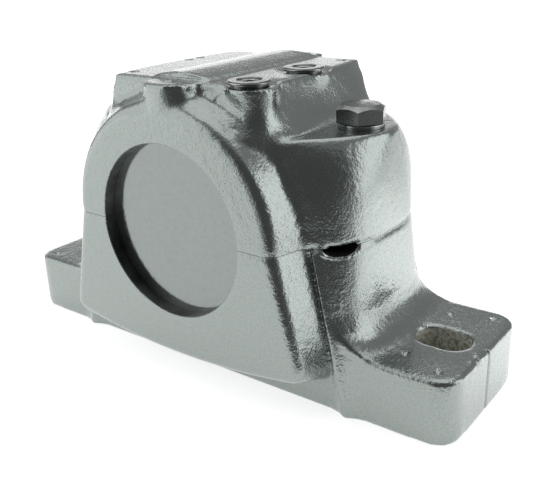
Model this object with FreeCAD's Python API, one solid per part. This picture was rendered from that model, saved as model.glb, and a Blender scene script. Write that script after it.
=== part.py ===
"""Two-bolt split plummer block for a 60 mm shaft, with the bearing it carries.

Frame: X along the feet, Y along the shaft, Z up, origin at the middle of the sole.
Every piece is built where it sits in the assembled block, at its real size, in mm.
"""
import FreeCAD, Part
import math
import os

V = FreeCAD.Vector
ORIGIN = V(0, 0, 0)
AXIS_X, AXIS_Y, AXIS_Z = V(1, 0, 0), V(0, 1, 0), V(0, 0, 1)

# ---- Bearing and shaft: driving dimensions -----------------------------------------
bearing_outer_radius = 60.0
bearing_width = 31.0
bearing_edge = 1.5
ring_wall = 5.5
raceway_radius = bearing_outer_radius - ring_wall   # ball-shaped track, outer ring
oil_groove_half = 4.0          # half width of the grease groove round the outer ring
oil_groove_depth = 1.2
oil_hole_radius = 1.8
oil_hole_count = 3
roller_radius = 7.4
roller_length = 12.0
roller_crown = 54.0            # radius of the barrel's profile
roller_pitch = 18.2            # room each roller has round the ring
row_offset = 8.17              # middle of each row from the middle of the bearing
track_clearance = 0.05
end_clearance = 0.25           # roller ends to rib and guide ring
pitch_reach = raceway_radius - track_clearance - roller_radius
roller_count = int(2 * math.pi * pitch_reach / roller_pitch)
inner_track = pitch_reach - roller_radius - track_clearance
inner_rib_radius = inner_track + 1.7
guide_ring_radius = pitch_reach - 1.05
cage_half_thickness = 1.2
cage_rim = 1.6
locating_ring_inner = bearing_outer_radius - 6
locating_ring_opening = 24.0   # gap at the foot of each ring

cone_ratio = 12.0              # taper 1:12 on diameter
sleeve_small_radius = inner_track - 7.1   # small end of the taper, and the nut's thread
shaft_radius = sleeve_small_radius - 2.5
sleeve_front = -19.0           # ends of the sleeve along the shaft
sleeve_rear = 31.0
sleeve_slit = 5.0
nut_outer_radius = shaft_radius + 12.5
nut_width = 12.0
nut_slots = 4
nut_slot_width = 8.0
nut_slot_depth = 3.5
lock_washer_thickness = 1.5
lock_washer_radius = shaft_radius + 8.5
lock_tooth_radius = shaft_radius + 12
lock_tooth_width = 5.0
lock_teeth = 13
end_cover_thickness = 6.8
cord_thickness = 3.0
seal_body_radius = shaft_radius + 4   # where the lips start
seal_lip_radius = shaft_radius + 0.1
fit_gap = 0.1                  # loose fit of covers, seals and nuts in their seats

# ---- Housing: inside ---------------------------------------------------------------
seat_width = 44.0              # bearing seat, along the shaft
seat_slack = 0.02
seat_radius = bearing_outer_radius + seat_slack
half_seat = seat_width / 2
chamber_radius = bearing_outer_radius + 2.5   # grease room each side of the seat
chamber_neck_radius = bearing_outer_radius - 6   # where it meets the inner lip
chamber_straight = 8.0         # length at full radius
bore_radius = shaft_radius + 12.5   # both lips of each end opening
outer_lip = 6.5
inner_lip = 5.0
seal_groove_width = 7.0
seal_groove_radius = bore_radius + 6
boss_width = 120.0             # over both end faces
half_width = boss_width / 2
groove_outer = half_width - outer_lip
groove_inner = groove_outer - seal_groove_width
chamber_end = groove_inner - inner_lip

# ---- Housing: driving dimensions ---------------------------------------------------
flank_cover = 27.0             # flanks and columns beyond the bearing, at the split
flank_reach = bearing_outer_radius + flank_cover
foot_reach = 50.5              # how far each foot runs beyond its column
foot_length = 2 * (flank_reach + foot_reach)
foot_width = 78.0              # sole depth along the shaft
foot_height = 32.0             # pad height at the mounting bolts
foot_corner_radius = 12.0      # upright corners of the sole block
foot_edge_radius = 2.5         # cast rounding of the pad's rim
centre_height = 80.0           # shaft axis above the sole
mount_inset = 22.5             # middle of each bolt slot from the foot's end
mount_spacing = foot_length - 2 * mount_inset
slot_length = 26.0             # end to end
slot_width = 18.0
slot_rim = 2.0                 # cast rounding round the slot's mouth
mark_radius = 1.8              # punch marks that show where dowels may be drilled
mark_depth = 1.2
mark_shifts = (-7.5, 11.5)     # each from the middle of the slot, along the foot
mark_insets = (15.5, 9.0)      # the same two from the foot's sides
line_width = 1.4               # centre line cut into each foot's end

boss_wall = 12.5               # metal round the seal grooves
boss_radius = seal_groove_radius + boss_wall   # arch round the bore, at the end faces
boss_draft = 0.26              # growth of the arch towards the middle, per mm
boss_flare = 14.5              # how far the lower boss widens each side
boss_floor = 15.0              # lowest point of the boss, at the end faces
boss_floor_rise = 7.5          # how far its lower edge rises to the corners
boss_floor_drop = 6.0          # fall of the underside towards the sole block
boss_edge_radius = 5.0
shell_depth_overlap = 3.0      # how far each boss runs into the middle of the block

tower_inset = 20.4             # corners of the cap's upper block, inside the bearing
tower_half_width = bearing_outer_radius - tower_inset
tower_bow = 5.2                # how much wider it is half way along the shaft
tower_rise = 8.0               # side strips above the arch
tower_height = centre_height + boss_radius + tower_rise
boss_stand = 14.0              # how far each boss stands out from the tower
tower_half_depth = boss_width / 2 - boss_stand
tower_draft = 0.12             # lean of the side walls near the top, per mm
tower_foot_radius = 13.0       # hollow blend from the side wall to the bolt ledge
corner_foot_radius = 5.0       # the same at the tower's upright corners
top_edge_radius = 1.5
tower_root = 2.0               # how far the tower runs down into the flanks
ledge_drop = 22.5              # seats of the cap bolts below the strips
ledge_height = tower_height - ledge_drop
flank_lean = 2.0               # how much shorter the cap's flank is at the ledge
column_fullness = 2.7          # squareness of the column's outline at the split
ledge_fullness = 1.5           # squareness of the same outline at the ledge
column_spread = 2.5            # how much longer the column is at the foot
column_fillet = 15.0           # hollow blend from the column to the pad
cast_edge_radius = 1.5         # rounding of the ledge's rim

bearing_cover = 12.0           # metal of the raised pad over the bearing
shell_radius = bearing_outer_radius + bearing_cover
shell_half_depth = tower_half_depth - 3
pad_half_width = 16.5          # raised pad between the strips, at its foot
pad_taper = 0.5                # how fast its side walls draw in, per mm
prow_tip = 5.0                 # half width of the nose over the arch, at its front
prow_shoulder = (12.4, 4.5)    # half width of its middle, and how far back that is
strip_mark = (tower_half_width - 4.8, tower_half_depth - 8.5)   # beside the pad

pry_radius = 10.8              # levering slots under the cap, at two corners
pry_height = 4.5
pry_depth = 8.0
pry_inset = (8.2, 15.2)        # from the flank's end and the tower's front
pry_turn = -37.0               # direction they point in, degrees

# ---- Fasteners ---------------------------------------------------------------------
bolt_inset = 17.8              # cap bolts from the ends of the flanks
bolt_offset = flank_reach - bolt_inset
bolt_thread_radius = 7.0
bolt_across_flats = 21.0
bolt_head_height = 9.0
bolt_corner_height = 6.2       # of the head's flats at its corners
bolt_crown_radius = 8.8        # where the head's bevel ends
bolt_crown_height = 8.4
bolt_engagement = 24.0         # thread depth in the base
bolt_point_gap = 4.0           # room below the bolt in its hole
bolt_hole_slack = 0.75         # of the cap's clear hole
thread_slack = 0.05
washer_thickness = 2.0
washer_outer_radius = 10.8
spot_face_slack = 0.8          # of the flat cut into the ledge round each washer
spot_face_height = 5.0
dowel_radius = 4.0
dowel_half_length = 9.0
dowel_slack = 0.02
dowel_inset = 14.0
dowel_offset_x = flank_reach - dowel_inset
dowel_offset_y = tower_half_depth / 2
plug_offset = tower_half_width - 4.5   # grease plugs, on the right strip
plug_stations = (9.0 - tower_half_depth, 4.6)   # along the shaft
plug_thread_radius = 6.5
plug_thread_length = 8.5
plug_flange_radius = 10.0
plug_flange_height = 1.5
plug_neck_radius = 8.5
plug_neck_height = 1.3         # sealing shoulder under the flange
plug_edge = 0.7
plug_socket_flats = 8.0
plug_socket_depth = 5.0
plug_sink_radius = 6.0         # countersink round the socket
plug_boss_radius = 12.0        # round swelling of the tower under each plug
plug_boss_foot = 7.0           # radius it fades to at the ledge
plug_face_drop = 1.2           # spot face below the strip
grease_channel_radius = 2.5

# ---- Plain helpers -----------------------------------------------------------------
def polygon(points):
    return Part.makePolygon(list(points) + [points[0]])


def prism(points, travel):
    return Part.Face(polygon(points)).extrude(travel)


def box(x0, x1, y0, y1, z0, z1):
    return Part.makeBox(x1 - x0, y1 - y0, z1 - z0, V(x0, y0, z0))


def upright(radius, x, y, z0, z1):
    return Part.makeCylinder(radius, z1 - z0, V(x, y, z0), AXIS_Z)


def about_shaft(profile):
    """Turn a list of (radius, y) points round the shaft axis."""
    points = [V(r, y, centre_height) for r, y in profile]
    return Part.Face(polygon(points)).revolve(V(0, 0, centre_height), AXIS_Y, 360)


def ring(inner, outer, y0, y1):
    return about_shaft([(inner, y0), (outer, y0), (outer, y1), (inner, y1)])


def mirrored_x(shape):
    return shape.mirror(ORIGIN, AXIS_X)


def mirrored_y(shape):
    return shape.mirror(ORIGIN, AXIS_Y)


def fuse_all(shapes):
    return shapes[0].multiFuse(shapes[1:]).removeSplitter()


def edges_where(shape, test):
    return [edge for edge in shape.Edges if test(edge)]


def save(node, shape):
    shape.exportStep("parts/%s.step" % node)


# ---- Cast outline of the columns and flanks ----------------------------------------
def squared_end(reach, depth, fullness):
    """Points of one rounded end of the plan outline, from front to back."""
    start = tower_half_width
    points = []
    steps = 12
    for i in range(steps + 1):
        angle = -math.pi / 2 + math.pi * i / steps
        c, s = math.cos(angle), math.sin(angle)
        x = start + (reach - start) * abs(c) ** (2 / fullness)
        y = math.copysign(depth * abs(s) ** (2 / fullness), s)
        points.append((x, y))
    return points


def plan_outline(z, reach, depth, fullness):
    """Closed outline of the block at height z: straight sides, two rounded ends."""
    right = [V(x, y, z) for x, y in squared_end(reach, depth, fullness)]
    left = [V(-p.x, p.y, z) for p in reversed(right)]
    ends = []
    for points in (right, left):
        curve = Part.BSplineCurve()
        curve.interpolate(points)
        ends.append(curve.toShape())
    back = Part.makeLine(right[-1], left[0])
    front = Part.makeLine(left[-1], right[0])
    return Part.Wire([ends[0], back, ends[1], front])


def flank_body():
    """Cap's flanks in plan, full at the split and drawn in to a nose at the ledge."""
    sections = []
    for share in (0.0, 0.4, 0.75, 1.0):
        z = centre_height + share * (ledge_height - centre_height)
        drawn_in = share ** 3
        fullness = column_fullness + drawn_in * (ledge_fullness - column_fullness)
        sections.append(plan_outline(z, flank_reach - drawn_in * flank_lean,
                                     tower_half_depth, fullness))
    return Part.makeLoft(sections, True, False)


def wall_spread(z, radius):
    """How far a side wall has leaned out at height z, hollow blend included."""
    spread = tower_draft * (tower_height - z)
    sunk = min(max(ledge_height + radius - z, 0), radius)
    return spread + radius - math.sqrt(radius ** 2 - sunk ** 2)


def tower_outline(z):
    """Plan of the tower: flat front and back, bowed side walls."""
    corner = tower_half_width + wall_spread(z, corner_foot_radius)
    middle = tower_half_width + tower_bow + wall_spread(z, tower_foot_radius)
    y = tower_half_depth
    right = Part.Arc(V(corner, -y, z), V(middle, 0, z), V(corner, y, z)).toShape()
    left = Part.Arc(V(-corner, y, z), V(-middle, 0, z), V(-corner, -y, z)).toShape()
    return Part.Wire([right, Part.makeLine(V(corner, y, z), V(-corner, y, z)), left,
                      Part.makeLine(V(-corner, -y, z), V(corner, -y, z))])


def tower_body():
    """Upper block of the cap, flared into the ledges and held to their plan."""
    heights = [ledge_height + tower_foot_radius * share
               for share in (0, 0.1, 0.3, 0.6, 1)]
    block = Part.makeLoft([tower_outline(z) for z in heights + [tower_height]],
                          True, False)
    top = edges_where(block, lambda e: e.BoundBox.ZMin > tower_height - 0.1)
    block = block.makeFillet(top_edge_radius, top)
    root, drop = tower_outline(ledge_height), V(0, 0, -tower_root)
    plan = plan_outline(ledge_height - tower_root, flank_reach - flank_lean,
                        tower_half_depth, ledge_fullness)
    held = Part.Face(plan).extrude(V(0, 0, ledge_drop + tower_root))
    return block.fuse(Part.Face(root).extrude(drop)).common(held)


# ---- Cap ---------------------------------------------------------------------------
def rim_edges(shape):
    """Curved rim of both ledges, outside the tower."""
    def on_rim(edge):
        size = edge.BoundBox
        level = abs(size.ZMin - ledge_height) + abs(size.ZMax - ledge_height) < 0.1
        return level and size.XLength > tower_foot_radius
    return edges_where(shape, on_rim)


def boss_outline(y, radius):
    """Upper half of the arch at one station along the shaft."""
    centre = V(0, y, centre_height)
    arch = Part.Arc(centre + V(radius, 0, 0), centre + V(0, 0, radius),
                    centre + V(-radius, 0, 0)).toShape()
    floor = Part.makeLine(centre + V(-radius, 0, 0), centre + V(radius, 0, 0))
    return Part.Wire([arch, floor])


def on_face(edge, y):
    size = edge.BoundBox
    return abs(size.YMin - y) < 0.01 and abs(size.YMax - y) < 0.01


def cap_boss():
    """Half cone of the arch at the front, its outer edge rounded."""
    front, root = -boss_width / 2, -foot_width / 2 + shell_depth_overlap
    grown = boss_radius + boss_draft * (root - front)
    solid = Part.makeLoft([boss_outline(front, boss_radius), boss_outline(root, grown)],
                          True, True)
    rounded = edges_where(solid, lambda e: on_face(e, front)
                          and e.BoundBox.ZLength > boss_radius / 2)
    return solid.makeFillet(boss_edge_radius, rounded)


def prow():
    """Nose that carries the tower's top forward over the arch."""
    front, root = -boss_width / 2, -tower_half_depth + 3
    base = centre_height + boss_radius - 2 * boss_edge_radius
    half, setback = prow_shoulder
    right = [V(prow_tip, front, base), V(half, front + setback, base),
             V(half + 1.5, root, base)]
    left = [V(-p.x, p.y, base) for p in reversed(right)]
    solid = prism(right + left, V(0, 0, tower_height - base))
    corners = edges_where(solid, lambda e: e.BoundBox.ZLength > 1
                          and e.BoundBox.YMax < front + 1)
    return solid.makeFillet(boss_edge_radius / 2, corners)


def raised_pad():
    """Part of the barrel over the bearing that stands up between the strips."""
    whole = Part.makeCylinder(shell_radius, 2 * shell_half_depth,
                              V(0, -shell_half_depth, centre_height), AXIS_Y)
    crown = centre_height + shell_radius
    foot = tower_height - boss_edge_radius
    half = pad_half_width + pad_taper * boss_edge_radius
    tip = pad_half_width - pad_taper * (crown - tower_height)
    keep = prism([V(-half, -shell_half_depth, foot), V(half, -shell_half_depth, foot),
                  V(tip, -shell_half_depth, crown), V(-tip, -shell_half_depth, crown)],
                 V(0, 2 * shell_half_depth, 0))
    return whole.common(keep)


def cap_casting():
    flanks = flank_body()
    flanks = flanks.makeFillet(cast_edge_radius, rim_edges(flanks))
    front_boss, front_prow = cap_boss(), prow()
    return fuse_all([flanks, tower_body(), raised_pad(), front_boss,
                     mirrored_y(front_boss), front_prow, mirrored_y(front_prow)])


# ---- Base --------------------------------------------------------------------------
def sole_block():
    block = box(-foot_length / 2, foot_length / 2, -foot_width / 2, foot_width / 2,
                0, foot_height)
    upright_edges = edges_where(block, lambda e: e.BoundBox.ZLength > foot_height / 2)
    block = block.makeFillet(foot_corner_radius, upright_edges)
    rim = edges_where(block, lambda e: e.BoundBox.ZMin > foot_height - 0.01)
    return block.makeFillet(foot_edge_radius, rim)


def column_section(drop):
    """Column outline at a height above the pad, with the hollow blend it has there."""
    inside = column_fillet - min(drop, column_fillet)
    flare = column_fillet - math.sqrt(column_fillet ** 2 - inside ** 2)
    share = 1 - drop / (centre_height - foot_height)
    return plan_outline(foot_height + drop, flank_reach + column_spread * share + flare,
                        tower_half_depth + flare, column_fullness + share)


def column_body():
    """Both columns as one body, flared into the feet and cut flush with the sole."""
    drops = [0.0, 0.6, 2.0, 4.5, 8.5, column_fillet]
    flare = Part.makeLoft([column_section(drop) for drop in drops], True, True)
    shank = Part.makeLoft([column_section(drop) for drop in
                           (column_fillet, centre_height - foot_height)], True, True)
    return flare.fuse(shank).common(
        box(-foot_length, foot_length, -foot_width / 2, foot_width / 2, 0, centre_height))


def lower_boss_outline(y, spread, floor):
    """Boss below the split: straight flared flanks and a bowed lower edge."""
    top = V(boss_radius + spread, y, centre_height)
    corner = V(boss_radius + boss_flare + spread, y, floor + boss_floor_rise)
    bow = Part.Arc(corner, V(0, y, floor), V(-corner.x, y, corner.z)).toShape()
    return Part.Wire([Part.makeLine(top, corner), bow,
                      Part.makeLine(V(-corner.x, y, corner.z), V(-top.x, y, top.z)),
                      Part.makeLine(V(-top.x, y, top.z), top)])


def lower_boss():
    front, root = -boss_width / 2, -foot_width / 2 + shell_depth_overlap
    spread = boss_draft * (root - front)
    solid = Part.makeLoft([lower_boss_outline(front, 0, boss_floor),
                           lower_boss_outline(root, spread,
                                              boss_floor - boss_floor_drop)], True, True)
    corners = edges_where(solid, lambda e: e.BoundBox.YLength > 1
                          and e.BoundBox.ZMax < centre_height / 2)
    solid = solid.makeFillet(boss_edge_radius + 2, corners)
    rounded = edges_where(solid, lambda e: on_face(e, front)
                          and e.BoundBox.ZMin < centre_height - 1)
    return solid.makeFillet(boss_edge_radius, rounded)


def obround(x, z, spare):
    """Outline of a bolt slot at height z, opened out by spare all round."""
    half, r = (slot_length - slot_width) / 2, slot_width / 2 + spare
    far = Part.Arc(V(x + half, -r, z), V(x + half + r, 0, z), V(x + half, r, z))
    near = Part.Arc(V(x - half, r, z), V(x - half - r, 0, z), V(x - half, -r, z))
    return Part.Wire([far.toShape(),
                      Part.makeLine(V(x + half, r, z), V(x - half, r, z)),
                      near.toShape(),
                      Part.makeLine(V(x - half, -r, z), V(x + half, -r, z))])


def mount_slot(x):
    """Bolt slot with its mouth rounded open at the pad."""
    shank = Part.Face(obround(x, -1, 0)).extrude(V(0, 0, foot_height + column_fillet))
    mouth = []
    for share in (0, 0.3, 0.6, 0.85, 1.0):
        spare = slot_rim - math.sqrt(slot_rim ** 2 - (slot_rim * share) ** 2)
        mouth.append(obround(x, foot_height + slot_rim * (share - 1), spare))
    mouth.append(obround(x, foot_height + 1, slot_rim))
    return shank.fuse(Part.makeLoft(mouth, True, True))


def mount_slots():
    return [mount_slot(side * mount_spacing / 2) for side in (-1, 1)]


def punch_mark(x, y, z):
    return Part.makeCone(0, mark_radius, mark_depth, V(x, y, z - mark_depth), AXIS_Z)


def foot_marks():
    marks = []
    for shift, inset in zip(mark_shifts, mark_insets):
        x, y = mount_spacing / 2 + shift, foot_width / 2 - inset
        marks += [punch_mark(side * x, end * y, foot_height)
                  for side in (-1, 1) for end in (-1, 1)]
    return marks


def end_lines():
    """Vee lines down the middle of both end faces."""
    half, x = line_width / 2, foot_length / 2
    right = prism([V(x - half, 0, 0), V(x + half, -2 * half, 0), V(x + half, 2 * half, 0)],
                  V(0, 0, foot_height))
    return [right, mirrored_x(right)]


def pry_slots():
    """Levering slots in the base's top edge, on two opposite corners."""
    x, y = flank_reach - pry_inset[0], pry_inset[1] - tower_half_depth
    middle = V(x, y, centre_height + pry_radius - pry_height)
    inward = V(-math.cos(math.radians(pry_turn)), -math.sin(math.radians(pry_turn)), 0)
    slot = Part.makeCylinder(pry_radius, 2 * pry_depth, middle - inward * pry_depth,
                             inward)
    return [slot, slot.rotated(ORIGIN, AXIS_Z, 180)]


# ---- Bearing room shared by base and cap --------------------------------------------
def bearing_room():
    """Seat, grease chambers, seal grooves and both end openings, as one turned cut."""
    half = [
        (seat_radius, half_seat), (chamber_radius, half_seat),
        (chamber_radius, half_seat + chamber_straight),
        (chamber_neck_radius, chamber_end), (bore_radius, chamber_end),
        (bore_radius, groove_inner), (seal_groove_radius, groove_inner),
        (seal_groove_radius, groove_outer), (bore_radius, groove_outer),
        (bore_radius, half_width + 1),
    ]
    rear = [(0, half_width + 1)] + half[::-1]
    front = [(r, -y) for r, y in half] + [(0, -half_width - 1)]
    return about_shaft(rear + front)


def bolt_places():
    return [(side * bolt_offset, 0) for side in (1, -1)]


def dowel_places():
    return [(dowel_offset_x, dowel_offset_y), (-dowel_offset_x, -dowel_offset_y)]


def dowel_holes():
    reach = dowel_half_length + 1
    return [upright(dowel_radius, x, y, centre_height - reach, centre_height + reach)
            for x, y in dowel_places()]


def base_casting(room):
    front_boss = lower_boss()
    body = fuse_all([sole_block(), column_body(), front_boss, mirrored_y(front_boss)])
    depth = bolt_engagement + bolt_point_gap
    tapped = [upright(bolt_thread_radius, x, y, centre_height - depth,
                      centre_height + 1) for x, y in bolt_places()]
    return body.cut([room] + tapped + mount_slots() + dowel_holes() + pry_slots()
                    + foot_marks() + end_lines())


def plug_places():
    return [(plug_offset, y) for y in plug_stations]


def cap_marks():
    """Punch marks on the strips and on the nose."""
    x, y = strip_mark
    spots = [(-x, -y), (x, y), (-x - 4, 5), (-x - 4, 14), (0, 10 - half_width)]
    return [punch_mark(x, y, tower_height) for x, y in spots]


def cap_shell(room):
    """Cap casting with its bolt holes, dowel holes and threaded grease holes."""
    bosses = [Part.makeCone(plug_boss_foot, plug_boss_radius, ledge_drop,
                            V(x, y, ledge_height), AXIS_Z) for x, y in plug_places()]
    body = fuse_all([cap_casting()] + bosses)
    face = tower_height - plug_face_drop
    hole = bolt_thread_radius + bolt_hole_slack
    cuts = [room] + dowel_holes() + cap_marks()
    for x, y in bolt_places():
        cuts.append(upright(hole, x, y, centre_height - 1, ledge_height + 1))
        cuts.append(upright(washer_outer_radius + spot_face_slack, x, y, ledge_height,
                            ledge_height + spot_face_height))
    for x, y in plug_places():
        cuts.append(upright(plug_boss_radius + 0.5, x, y, face, face + ledge_drop))
        cuts.append(upright(plug_thread_radius + thread_slack, x, y,
                            face - plug_thread_length, face + 1))
        cuts.append(upright(grease_channel_radius, x, y, centre_height + bore_radius,
                            face))
    return body.cut(cuts)


# ---- Fasteners ---------------------------------------------------------------------
def hexagon(flats, x, y, z0, z1):
    """Six-sided bar with two corners pointing along the feet."""
    corner = flats / math.sqrt(3)
    points = [V(x + corner * math.cos(math.radians(60 * k)),
                y + corner * math.sin(math.radians(60 * k)), z0) for k in range(6)]
    return prism(points, V(0, 0, z1 - z0))


def cap_bolt(x, y):
    """Hexagon bolt with a bevelled, slightly domed head."""
    seat = ledge_height + washer_thickness
    wide = bolt_across_flats
    crown = Part.Face(polygon([
        V(x, y, seat), V(x + wide / 2 - 0.5, y, seat), V(x + wide / 2, y, seat + 0.5),
        V(x + wide, y, seat + 0.5), V(x + wide / math.sqrt(3), y,
                                      seat + bolt_corner_height),
        V(x + bolt_crown_radius, y, seat + bolt_crown_height),
        V(x, y, seat + bolt_head_height)])).revolve(V(x, y, 0), AXIS_Z, 360)
    head = hexagon(wide, x, y, seat, seat + bolt_head_height).common(crown)
    tip = centre_height - bolt_engagement
    shank = upright(bolt_thread_radius - thread_slack, x, y, tip + 1.5, seat)
    point = Part.makeCone(bolt_thread_radius - 1.5, bolt_thread_radius - thread_slack,
                          1.5, V(x, y, tip), AXIS_Z)
    return fuse_all([head, shank, point])


def bolt_washer(x, y):
    hole = bolt_thread_radius + bolt_hole_slack / 2
    top = ledge_height + washer_thickness
    ring_solid = upright(washer_outer_radius, x, y, ledge_height, top)
    return ring_solid.cut(upright(hole, x, y, ledge_height, top))


def dowel_pin(x, y):
    pin = upright(dowel_radius - dowel_slack, x, y, centre_height - dowel_half_length,
                  centre_height + dowel_half_length)
    return pin.makeChamfer(0.8, edges_where(pin, lambda e: e.BoundBox.ZLength < 0.01))


def grease_plug(x, y):
    """Flanged screw plug with a countersunk hexagon socket."""
    face = tower_height - plug_face_drop
    seat = face + plug_neck_height
    top = seat + plug_flange_height
    flange = upright(plug_flange_radius, x, y, seat, top)
    flange = flange.makeChamfer(plug_edge, edges_where(
        flange, lambda e: e.BoundBox.ZMin > top - 0.01))
    neck = upright(plug_neck_radius, x, y, face, seat)
    thread = upright(plug_thread_radius, x, y, face - plug_thread_length + 0.5, seat)
    socket = hexagon(plug_socket_flats, x, y, top - plug_socket_depth, top + 1)
    sink = Part.makeCone(plug_sink_radius - 1, plug_sink_radius, 1, V(x, y, top - 1),
                         AXIS_Z)
    return fuse_all([flange, neck, thread]).cut([socket, sink])


# ---- Bearing -----------------------------------------------------------------------
half_bearing = bearing_width / 2
lean = math.asin(row_offset / pitch_reach)


def roller_point(along, out, row):
    """Radius and shaft position of a point given in one roller's own frame."""
    reach = pitch_reach + out
    return (reach * math.cos(lean) - along * math.sin(lean),
            row * (reach * math.sin(lean) + along * math.cos(lean)))


def section_point(pair):
    return V(pair[0], pair[1], centre_height)


def outer_ring():
    w, r, e = half_bearing, bearing_outer_radius, bearing_edge
    g, d = oil_groove_half, oil_groove_depth
    solid = about_shaft([(0, -w), (r - e, -w), (r, e - w), (r, -g), (r - d, 1 - g),
                         (r - d, g - 1), (r, g), (r, w - e), (r - e, w), (0, w)])
    solid = solid.cut(Part.makeSphere(raceway_radius, V(0, 0, centre_height)))
    holes = []
    for k in range(oil_hole_count):
        hole = Part.makeCylinder(oil_hole_radius, r, V(0, 0, centre_height), AXIS_Z)
        hole.rotate(V(0, 0, centre_height), AXIS_Y, 360 * (k + 0.5) / oil_hole_count)
        holes.append(hole)
    return solid.cut(holes)


def cone_radius(y):
    """Radius of the tapered seat between sleeve and bearing."""
    return sleeve_small_radius + (half_bearing - y) / (2 * cone_ratio)


def roller_outline(along, out, hollow, cap_out, row):
    """Face between an arc at the roller's flank and a straight line at cap_out."""
    sag = along ** 2 / (2 * roller_crown) * hollow
    start, middle, finish = [section_point(roller_point(a, o, row)) for a, o in
                             ((-along, out + sag), (0, out), (along, out + sag))]
    near, far = [section_point(roller_point(a, cap_out, row)) for a in (-along, along)]
    return Part.Face(Part.Wire([
        Part.Arc(start, middle, finish).toShape(), Part.makeLine(finish, far),
        Part.makeLine(far, near), Part.makeLine(near, start)]))


def inner_ring():
    """Tapered bore, two hollow tracks, a small rib at each end and none between."""
    w, e, middle = half_bearing, bearing_edge / 2, half_bearing / 2
    rib, low = inner_rib_radius, inner_rib_radius - 1
    solid = about_shaft([
        (cone_radius(-w), -w), (rib - e, -w), (rib, e - w), (rib, -middle),
        (low, -middle), (low, middle), (rib, middle), (rib, w - e), (rib - e, w),
        (cone_radius(w), w)])
    end = roller_length / 2 + end_clearance
    for row in (-1, 1):
        track = roller_outline(end, inner_track - pitch_reach, 1, roller_radius, row)
        solid = solid.cut(track.revolve(V(0, 0, centre_height), AXIS_Y, 360))
    return solid


def around(shape, count, turn=0.0):
    """Copies of a shape spread evenly round the shaft."""
    copies = []
    for k in range(count):
        copy = shape.copy()
        copy.rotate(V(0, 0, centre_height), AXIS_Y, turn + 360 * k / count)
        copies.append(copy)
    return copies


def roller_row(row):
    """One row of barrel rollers, each turned about its own leaning axis."""
    profile = roller_outline(roller_length / 2, roller_radius, -1, 0, row)
    spin = section_point(roller_point(1, 0, row)) - section_point(roller_point(0, 0, row))
    roller = profile.revolve(section_point(roller_point(0, 0, row)), spin, 360)
    return Part.makeCompound(around(roller, roller_count, row * 90 / roller_count))


def cage(row):
    """Window cage: a coned band with an opening round each roller."""
    half, t = roller_length / 2 + track_clearance, cage_half_thickness
    edge = half + cage_rim
    band = about_shaft([roller_point(a, o, row) for a, o in
                        ((-edge, -t), (edge, -t), (edge, t), (-edge, t))])
    width = roller_radius + 2 * track_clearance
    corners = [section_point(roller_point(a, o, row)) for a, o in
               ((-half, -3 * t), (half, -3 * t), (half, 3 * t), (-half, 3 * t))]
    window = prism([corner - V(0, 0, 0) for corner in corners], V(0, 0, 2 * width))
    window.translate(V(0, 0, -width))
    return band.cut(around(window, roller_count, row * 90 / roller_count))


def guide_ring():
    """Floating ring between the rows, tapered to lie along the roller ends."""
    gap, out = roller_length / 2 + end_clearance, guide_ring_radius
    low = inner_rib_radius - 1 + track_clearance
    top = roller_point(-gap, out / math.cos(lean) - pitch_reach, 1)[1] - end_clearance / 2
    foot = roller_point(-gap, low / math.cos(lean) - pitch_reach, 1)[1] - end_clearance
    return about_shaft([(low, -foot), (out, -top), (out, top), (low, foot)])


def locating_ring(end):
    """Open ring that keeps the bearing from sliding in its seat."""
    inner, outer = locating_ring_inner, bearing_outer_radius
    near, far = half_bearing, half_seat
    band = ring(inner, outer, min(end * near, end * far), max(end * near, end * far))
    half = locating_ring_opening / 2
    opening = box(-half, half, -seat_width, seat_width, 0, centre_height - inner / 2)
    return band.cut(opening)


# ---- Sleeve, washer and nut --------------------------------------------------------
def adapter_sleeve():
    """Tapered sleeve, slit along its length, threaded at its small end."""
    w, small = half_bearing, sleeve_small_radius
    solid = about_shaft([
        (shaft_radius, sleeve_front), (cone_radius(sleeve_front) - 1, sleeve_front),
        (cone_radius(sleeve_front + 1), sleeve_front + 1), (small, w),
        (small, sleeve_rear - 1), (small - 1, sleeve_rear), (shaft_radius, sleeve_rear)])
    half = sleeve_slit / 2
    return solid.cut(box(-half, half, sleeve_front - 1, sleeve_rear + 1,
                         0, centre_height))


def lock_washer():
    """Flat ring with teeth outside and one tongue in the sleeve's slit."""
    y0, y1 = half_bearing, half_bearing + lock_washer_thickness
    body = ring(sleeve_small_radius + fit_gap, lock_washer_radius, y0, y1)
    half = lock_tooth_width / 2
    tooth = box(-half, half, y0, y1, centre_height + lock_washer_radius - 2,
                centre_height + lock_tooth_radius)
    half = sleeve_slit / 2 - fit_gap
    tongue = box(-half, half, y0, y1, centre_height - sleeve_small_radius - 2,
                 centre_height - shaft_radius - 0.5)
    return fuse_all([body, tongue] + around(tooth, lock_teeth))


def lock_nut():
    y0 = half_bearing + lock_washer_thickness
    y1, r, e = y0 + nut_width, nut_outer_radius, 1.5
    solid = about_shaft([(sleeve_small_radius + fit_gap, y0), (r, y0), (r, y1 - e),
                         (r - e, y1), (sleeve_small_radius + fit_gap, y1)])
    half = nut_slot_width / 2
    slot = box(-half, half, y0 - 1, y1 + 1, centre_height + r - nut_slot_depth,
               centre_height + r + 1)
    return solid.cut(around(slot, nut_slots, 45))


# ---- End cover and seals -----------------------------------------------------------
def end_cover():
    """Plain disc that closes the front opening, grooved round its rim for a cord."""
    middle, half = -(groove_inner + groove_outer) / 2, end_cover_thickness / 2
    r, e, deep = seal_groove_radius - fit_gap, 0.6, cord_thickness / 2
    low = r - cord_thickness + fit_gap
    return about_shaft([
        (0, middle - half), (r - e, middle - half), (r, middle - half + e),
        (r, middle - deep), (low, middle - deep), (low, middle + deep),
        (r, middle + deep), (r, middle + half - e), (r - e, middle + half),
        (0, middle + half)])


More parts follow.
